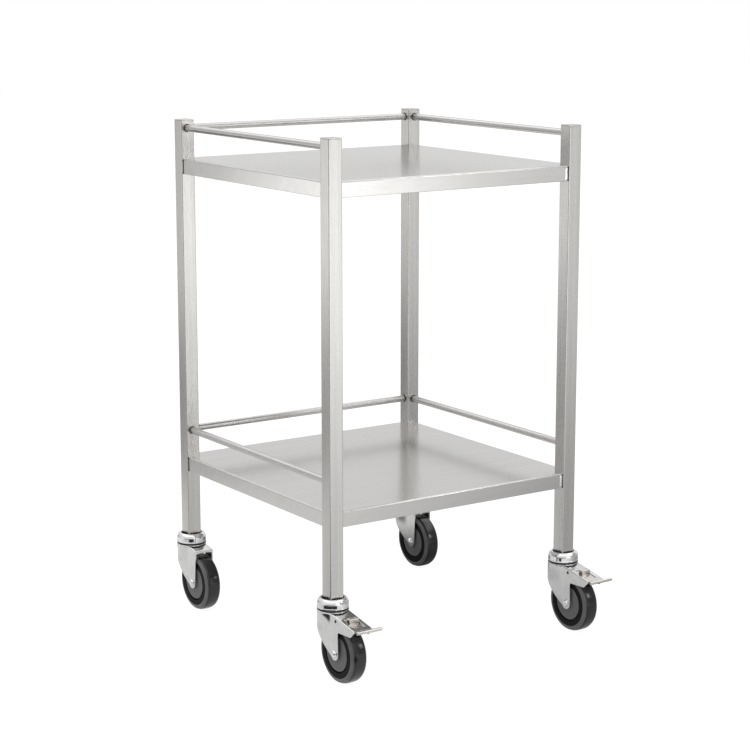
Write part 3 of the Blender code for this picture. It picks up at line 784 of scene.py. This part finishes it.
def shelf_welds():
    """Beads where each flange's ends meet the posts: burnt in two places, ground bright in the others."""
    for level in LEVELS:
        low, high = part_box(f"{level}_shelf")
        height = (low.z + high.z) / 2 - 0.3 * MM
        length = high.z - low.z - 2.4 * MM
        for corner, (sign_x, sign_y) in CORNERS.items():
            swivel = SWIVEL[corner]
            face = (swivel.x - sign_x * TUBE / 2, swivel.y - sign_y * TUBE / 2)
            outer = (swivel.x + sign_x * (TUBE / 2 - BEAD_INSET), swivel.y + sign_y * (TUBE / 2 - BEAD_INSET))
            along_front = Vector((face[0], outer[1], height))
            along_side = Vector((outer[0], face[1], height))
            for tag, place in (("front", along_front), ("side", along_side)):
                outward = BURNT_BEADS.get((corner, tag))
                finish = WELD if outward else GROUND_WELD
                radius = BURNT_BEAD_RADIUS if outward else BEAD_RADIUS
                weld_bead(f"{level}_bead_{corner}_{tag}", place, length, radius, finish)
                if corner == PAD_CORNER:
                    weld_pad(f"{level}_pad_{corner}_{tag}", place + PAD_OFFSET)
                if outward:
                    weld_spots(level, corner, place + outward * SPOT_PROUD)


# Casters, round the swivel axis and at their own height above the floor

CROWN_RADIUS = 25.2
CROWN_BORE = 5.4
CROWN_LOW, CROWN_TOP = 112.9, 115.0
STEM_OPENING = 9 * MM
FORK_WALL = 2.3 * MM
FOLD = 2.0 * MM
FOLD_LEAD = 0.3 * MM
CUT_EDGE = 0.35 * MM
CHEEK = 18 * MM
CHEEK_BACK = 19.5
SHOULDER = 26 * MM
SWELL_START, SWELL_RUN = 82 * MM, 30 * MM
KNEE = 84.0
SWEEP = 50.5
SWEEP_POWER = 1.75
BOSS = 10.5
WINDOW_BACK, WINDOW_FRONT, WINDOW_HALF = -45 * MM, -79 * MM, 10 * MM
ARM_FRONT = -87.8
ARM_LEVEL = 114.6 * MM
SLOPE_PLACE, SLOPE_LEVEL = -20 * MM, 114.5 * MM
ARM_SLOPE = 0.187
ARM_SOFTNESS = 1 * MM
VISOR_FRONT = -44.4
VISOR_LIP = 6.4
VISOR_ARCH = 2.2
VISOR_WALL = 2.0
TRAIL = (SWIVEL["front_left"].y - AXLE["front_left"].y) / MM
AXLE_HEIGHT = AXLE["front_left"].z / MM
PIVOT = Vector((0, -35, 105)) * MM
PEDAL_BAR = Vector((0, -91.5, 99.5)) * MM


def arm_top(y):
    """The outer height of the fork's top sheet: level under the crown, then sloping down to the front."""
    slope = SLOPE_LEVEL + ARM_SLOPE * (y - SLOPE_PLACE)
    return (ARM_LEVEL + slope - math.hypot(ARM_LEVEL - slope, ARM_SOFTNESS)) / 2


def cheek_reach(y, z):
    """How far out a cheek stands: round under the crown, flat lower down."""
    swell = max(0.0, math.sqrt(max(0.0, SHOULDER ** 2 - y * y)) - CHEEK)
    share = min(1.0, max(0.0, (z - SWELL_START) / SWELL_RUN))
    return CHEEK + swell * share * share * (3 - 2 * share)


def cheek_runs(braked):
    """A cheek's outline in (y, z) runs, back edge to front, each with the y where it meets the top sheet."""
    foot = AXLE_HEIGHT - BOSS
    sweep = []
    for z in (84, 79, 74, 69, 64, 59, 54, 50, 46.5):
        sweep.append((CHEEK_BACK - SWEEP * ((KNEE - z) / (KNEE - foot)) ** SWEEP_POWER, z))
    runs = [
        ([(CHEEK_BACK, z) for z in (112.4, 106, 99, 92)], CHEEK_BACK, 14),
        (sweep, 13, -21),
        (arc((-TRAIL, AXLE_HEIGHT), BOSS, -30, -180, 15), -22, -31),
    ]
    if braked:  # up to the crotch, along under the arm and round its nose
        arm = [(-45 - 4 * step, 88.2 + 0.16 * step) for step in range(1, 8)]
        runs += [
            ([(-41.4, 58), (-41.2, 67), (-41.1, 76)], -32, -37),
            (arc((-44.5, 84.7), 3.5, 0, 90, 6), -38, -45),
            (arm, -49, -75),
            (arc((-76.9, 92.5), 3, 268, 215, 6), -79, -82),
            ([(-82.5, 93.6), (-85.5, 97.0), (-87.6, 99.4), (ARM_FRONT, 99.75)], -84, ARM_FRONT),
        ]
    else:  # up the front edge to the visor
        edge = [(-41.8, 55), (-42.4, 62), (-43.1, 70), (-43.9, 78)]
        edge += [(VISOR_FRONT, z) for z in (86, 94, 101, 107.6)]
        runs.append((edge, -33, VISOR_FRONT))
    return runs


def fork_line(low, top):
    """One line across the sheet, from the foot of a cheek up, over the top and down the other cheek."""
    start = Vector((top.x, top.y - FOLD))
    half = []
    for eighths in (0, 0.3, 1, 2, 3, 4, 5, 6, 7, 7.7, 8):
        point = low.lerp(start, eighths / 8)
        half.append((cheek_reach(point.x, point.y), point.x, point.y))
    reach = cheek_reach(top.x, top.y)
    for angle in arc_angles(0, 90, 5)[1:]:
        half.append((reach - FOLD + FOLD * math.cos(angle), top.x, top.y - FOLD + FOLD * math.sin(angle)))
    flat = (reach - FOLD - FOLD_LEAD, (reach - FOLD + WINDOW_HALF) / 2, WINDOW_HALF, WINDOW_HALF / 2)
    half += [(x, *top) for x in flat]
    return [(-x, y, z) for x, y, z in half] + [(0.0, *top)] + half[::-1]


def in_opening(point, braked):
    """Whether the top sheet is cut away here: round the stem, and in the brake's window."""
    if abs(point.x) >= WINDOW_HALF or point.z <= arm_top(point.y) - 0.5 * MM:
        return False
    return abs(point.y) < STEM_OPENING or (braked and WINDOW_FRONT < point.y < WINDOW_BACK)


def outward(shape):
    """An open sheet whose faces all look out, so that the topmost one looks up."""
    bmesh.ops.recalc_face_normals(shape, faces=shape.faces[:])
    highest = max(shape.faces, key=lambda face: (round(face.calc_center_median().z, 6), face.calc_area()))
    if highest.normal.z < 0:
        bmesh.ops.reverse_faces(shape, faces=shape.faces[:])
    mesh = bpy.data.meshes.new("sheet")
    shape.to_mesh(mesh)
    shape.free()
    return mesh


def visor_lip():
    """The short lip turned down at the front of the visor, arched along its lower edge."""
    half = CHEEK - FORK_WALL
    top = arm_top(VISOR_FRONT * MM)
    front, back = VISOR_FRONT * MM, (VISOR_FRONT + VISOR_WALL) * MM
    rounding = [0.5 * MM, 0.5 * MM, 0.1 * MM, 1.2 * MM]
    loops = []
    for step in range(13):
        x = half * (step / 6 - 1)
        low = top - (VISOR_LIP - VISOR_ARCH * (1 - (x / half) ** 2)) * MM
        section = [(front, low), (back, low), (back, top - 0.4 * MM), (front, top - 0.4 * MM)]
        loops.append([Vector((x, y, z)) for y, z in fillet(section, rounding, 4)])
    return loft(loops, sharp=50)


def fork_mesh(braked):
    """Two cheeks and a sloping top pressed from one sheet, with the round crown plate set in it."""
    shape = bmesh.new()
    rows = []
    for points, start, end in cheek_runs(braked):
        for index, point in enumerate(points):
            y = (start + (end - start) * index / (len(points) - 1)) * MM
            line = fork_line(Vector(point) * MM, Vector((y, arm_top(y))))
            rows.append([shape.verts.new(place) for place in line])
    for first, second in zip(rows, rows[1:]):
        for step in range(len(first) - 1):
            corners = (first[step], first[step + 1], second[step + 1], second[step])
            if not in_opening(sum((corner.co for corner in corners), Vector()) / 4, braked):
                shape.faces.new(corners)
    loose = [vertex for vertex in shape.verts if not vertex.link_faces]
    bmesh.ops.delete(shape, geom=loose, context="VERTS")
    disc = [(CROWN_BORE, CROWN_LOW), (CROWN_RADIUS, CROWN_LOW)]
    disc += [(CROWN_RADIUS, CROWN_TOP), (CROWN_BORE, CROWN_TOP)]
    crown = lathe(in_metres(fillet(disc, [0, 0.6, 0.9, 0])), segments=64, closed=True)
    parts = [thickened(outward(shape), FORK_WALL, CUT_EDGE), crown]
    if not braked:
        parts.append(visor_lip())
    return joined(parts, sharp=40)


def both_sides(half):
    """Half an outline of (radius, width) points in mm, followed by its mirror image, in metres."""
    return in_metres(half + [(radius, -x) for radius, x in half[::-1]])


def tyre_mesh():
    """The tyre: a black core beside the hub, a shoulder with a bead painted light grey as a painted sheen for
    the light its bevel catches, and a glossy tread.
    """
    core_edge, shoulder_edge = 40.8 * MM, 47.9 * MM
    side = [(32.0, 13.3), (33.0, 13.8), (40.6, 13.6), (40.9, 14.2), (43.6, 14.5), (47.6, 12.2), (48.8, 8.9)]
    side = filleted(side, [0, 0.5, 0.2, 0.6, 2.0, 4.0, 0], 4)
    tread = [(48.7, 8.6), (48.9, 8.2), (49.3, 7.9), (49.45, 7.3), (49.65, 4.5), (AXLE_HEIGHT, 1.5)]
    mesh = along_x(lathe(both_sides(side + tread), segments=96, closed=True, sharp=28))
    for finish in (TYRE_RUBBER, SHOULDER_PAINTED_SHEEN, CORE_PLASTIC):
        mesh.materials.append(finish)
    # faces inside the core edge take the core plastic; those out to the shoulder edge take the lighter
    # rubber, the painted sheen
    for polygon in mesh.polygons:
        radius = math.hypot(polygon.center.y, polygon.center.z)
        if radius < core_edge:
            polygon.material_index = 2
        elif radius < shoulder_edge:
            polygon.material_index = 1
    return mesh


def hub_mesh():
    """The hub with its side discs, and a groove between it and the tyre coloured near black, painted shade
    for its depth.
    """
    groove_radius, groove_depth = 29.3 * MM, 12.8 * MM
    face = [(6.3, 14.85), (9.6, 14.85), (10.3, 13.75), (13.0, 13.5), (28.9, 13.7), (29.6, 12.9), (29.6, 8.6)]
    face = filleted(face + [(31.8, 8.5)], [0, 0.5, 0.8, 1.5, 0.5, 0.3, 0.3, 0], 3)
    mesh = along_x(lathe(both_sides(face), segments=72, closed=True, sharp=30))
    mesh.materials.append(HUB_PLASTIC)
    mesh.materials.append(SEAL_AND_PAINTED_SHADE)
    # the groove's faces take the near-black rubber: painted shade in the recess
    for polygon in mesh.polygons:
        centre = polygon.center
        if math.hypot(centre.y, centre.z) > groove_radius and abs(centre.x) < groove_depth:
            polygon.material_index = 1
    return mesh


def collar_mesh():
    """The bright cover over the swivel: a small skirt, an upright wall and a domed shoulder."""
    skirt = [(18.5, 118.1), (26.0, 118.1), (26.0, 119.8)]
    wall = [(25.6, 120.3), (25.4, 126.8), (23.9, 131.0), (21.3, 133.9), (18.5, 133.9)]
    outline = fillet(skirt + wall, [0.2, 0.5, 0.5, 0.3, 6.0, 6.0, 1.2, 0.4], 6)
    return lathe(in_metres(outline), segments=96, closed=True, sharp=50)


def seal_mesh():
    """The swivel bearing's black seal, a plain ring that fills the gap under the collar; wider than the
    bearing, its black is partly the seal's own colour and partly painted shade in that gap.
    """
    low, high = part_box("caster_bearing_front_left")
    # the outer radius reaches out under the collar's rim, so the black ring also paints the shade in the gap
    inner, outer = 6 * MM, 25.7 * MM
    bottom = low.z - 0.2 * MM
    points = [(inner, bottom), (outer, bottom), (outer, high.z), (inner, high.z)]
    return lathe(fillet(points, 0.2 * MM, 2), segments=64, closed=True)


def bolt_mesh():
    """A domed head on a round flange at the -X end, and the threaded end past the nut at the +X end."""
    seat, shank, root, tip = -18.15, 3.9, 3.6, 26.2
    thread_start, pitch = 24.6, 0.45
    profile = [(5.8 * math.sin(a), seat - 0.9 - 3.2 * math.cos(a)) for a in arc_angles(0, 88, 8)]
    profile += filleted([(5.85, seat - 0.9), (6.6, seat - 0.8), (6.6, seat), (shank, seat)], 0.25, 3)
    profile.append((shank, thread_start - 0.2))
    for step in range(3):
        crest = thread_start + pitch * step
        profile += [(shank, crest), (root, crest + 0.2)]
    profile += [(3.2, tip), (0, tip)]
    return along_x(lathe(in_metres(profile), segments=40, sharp=35))


def nut_mesh():
    """A six-sided nut with its corners taken off at both ends."""
    flat, corner, chamfer = 6.5, 8, 6.45
    loops = []
    for x, limit in ((18.2, chamfer), (18.9, corner), (23.4, corner), (24.2, chamfer)):
        loop = []
        for step in range(48):
            angle = 2 * math.pi * step / 48
            off_flat = (angle + math.pi / 6) % (math.pi / 3) - math.pi / 6
            radius = min(flat / math.cos(off_flat), limit)
            loop.append(Vector((x, radius * math.sin(angle), radius * math.cos(angle))) * MM)
        loops.append(loop)
    return loft(loops, sharp=25)


def pin_mesh():
    """The brake's pivot pin, with a riveted head just proud of each cheek."""
    head = [(0, -18.75), (1.7, -18.7), (2.5, -18.4), (2.7, -17.9), (2.1, -17.8), (2.1, -15)]
    return along_x(lathe(both_sides(head), segments=32, sharp=50))


def band(points, wall, half, edge=0.3):
    """A folded strip across the arm: its outer (y, z) line in mm, its thickness and half its width."""
    line = [Vector(point) for point in points]
    inner = []
    for index, point in enumerate(line):
        before, after = line[max(index - 1, 0)], line[min(index + 1, len(line) - 1)]
        run = (after - before).normalized()
        inner.append(point + Vector((run.y, -run.x)) * wall)
    section = held(line + inner[::-1], lead=HOLD / MM)
    centre = sum(section, Vector((0, 0))) / len(section)
    loops = []
    for x, inset in ((-half, edge), (-half + edge, 0), (half - edge, 0), (half, edge)):
        shrunk = [point - (point - centre).normalized() * inset for point in section]
        loops.append([Vector((x, *point)) * MM for point in shrunk])
    return loft(loops, sharp=40)


def pedal_bar():
    """The round bar across the front of the pedal, with a rounded left end and a domed right one."""
    shoulder = [(1.9 + math.sin(a), -14 - math.cos(a)) for a in arc_angles(0, 90, 4)]
    dome = [(2.75 * math.cos(a), 30.4 + 2.6 * math.sin(a)) for a in arc_angles(0, 90, 6)]
    profile = [(0, -13.4), (1.7, -13.6), (1.8, -15)] + shoulder + [(2.9, 0), (2.9, 20), (2.75, 29)] + dome
    return along_x(lathe(in_metres(profile), segments=32, sharp=50), PEDAL_BAR)


def lever_mesh():
    """The brake pedal: a plate under the arm, its shoe, the tab through the window and the bar in front."""
    under = FORK_WALL + 1.2 * MM
    barrel = in_metres([(2.2, -14.4), (3.5, -14.4), (3.5, 14.4), (2.2, 14.4)])
    slope = [(y, (arm_top(y * MM) - under) / MM) for y in (-90.6, -80, -68, -56, -44, -36)]
    shoe = [(-43.2, 104.0), (-43.4, 102.4), (-44.6, 101.5), (-47.4, 101.5), (-48.6, 102.2), (-48.9, 103.6)]
    tab = filleted([(-51.5, 105.0), (-53.6, 113.6), (-62.6, 113.4), (-62.4, 100.8)], [0, 1.6, 1.6, 0], 5)
    parts = [
        along_x(lathe(barrel, segments=32, closed=True), PIVOT),
        band(slope, wall=-2.0, half=12.4),
        band(shoe, wall=-1.2, half=11),
        band(tab, wall=-1.5, half=8.4),
        pedal_bar(),
    ]
    return joined(parts, sharp=40)


def make_casters():
    collar, seal = collar_mesh(), seal_mesh()
    forks = {braked: fork_mesh(braked) for braked in (True, False)}
    tyre, hub, bolt, nut = tyre_mesh(), hub_mesh(), bolt_mesh(), nut_mesh()
    lever, pin = lever_mesh(), pin_mesh()
    for corner, swivel in SWIVEL.items():
        braked = corner.startswith("front")
        axle = AXLE[corner]
        fork, wheel = f"fork_{corner}", f"wheel_{corner}"
        cover, bearing = [f"caster_collar_{corner}"], [f"caster_bearing_{corner}"]
        piece(f"swivel_cover_{corner}", collar, CHROME, "frame", cover, swivel)
        piece(f"swivel_seal_{corner}", seal, SEAL_AND_PAINTED_SHADE, "frame", bearing, swivel)
        piece(f"fork_shell_{corner}", forks[braked], ZINC, fork, [f"fork_{corner}"], swivel)
        piece(f"tread_{corner}", tyre, TYRE_RUBBER, wheel, [f"tyre_{corner}"], axle)
        piece(f"wheel_hub_{corner}", hub, HUB_PLASTIC, wheel, [f"hub_{corner}"], axle)
        piece(f"bolt_{corner}", bolt, CHROME, fork, [f"axle_bolt_{corner}"], axle)
        piece(f"nut_{corner}", nut, ZINC, fork, [f"axle_nut_{corner}"], axle)
        if braked:
            brake = f"brake_{corner}"
            piece(f"pedal_{corner}", lever, NICKEL, brake, [f"brake_lever_{corner}"], swivel)
            piece(f"pivot_{corner}", pin, DARK_PIN, fork, [f"brake_pin_{corner}"], swivel + PIVOT)


make_camera()
make_floor()
make_world()
make_lights()
make_posts()
for level in LEVELS:
    make_shelf(level)
make_rails()
rail_welds()
shelf_welds()
make_casters()
coat_carried_nodes()
bpy.context.scene.view_settings.view_transform = "Standard"
